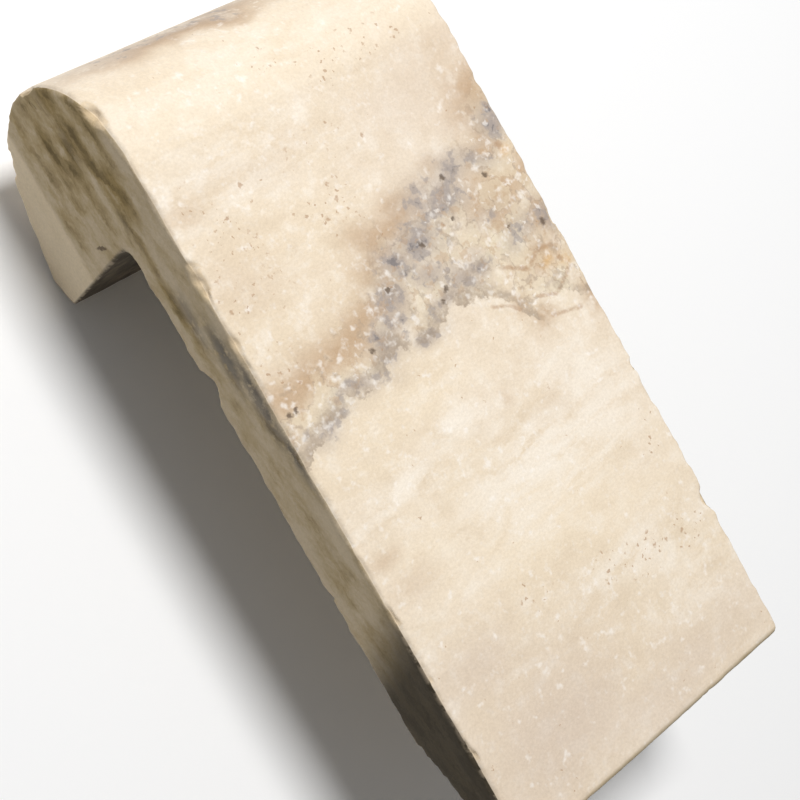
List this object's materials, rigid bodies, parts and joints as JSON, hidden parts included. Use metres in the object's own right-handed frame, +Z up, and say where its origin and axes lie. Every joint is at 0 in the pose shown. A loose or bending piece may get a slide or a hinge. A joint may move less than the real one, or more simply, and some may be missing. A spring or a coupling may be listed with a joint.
{
  "type": "bullnose coping stone",
  "caption": "Travertine coping stone with a half-round drop nose: the slab beds on top of a wall or pool edge and the nose laps down over its face.",
  "frame": {"origin": "middle of the bed, the flat underside of the slab, measured from the line of the heel to the tail", "axes": "+Z up out of the wall, -Y towards the nose and the open side of the wall, X along the wall from joint to joint"},
  "size_m": [0.152, 0.3229, 0.1],
  "materials": {
    "travertine": "honed and tumbled travertine, cream with a brown and grey vein band"
  },
  "bodies": {
    "root": {"coping_stone": "travertine"}
  },
  "joints": []
}
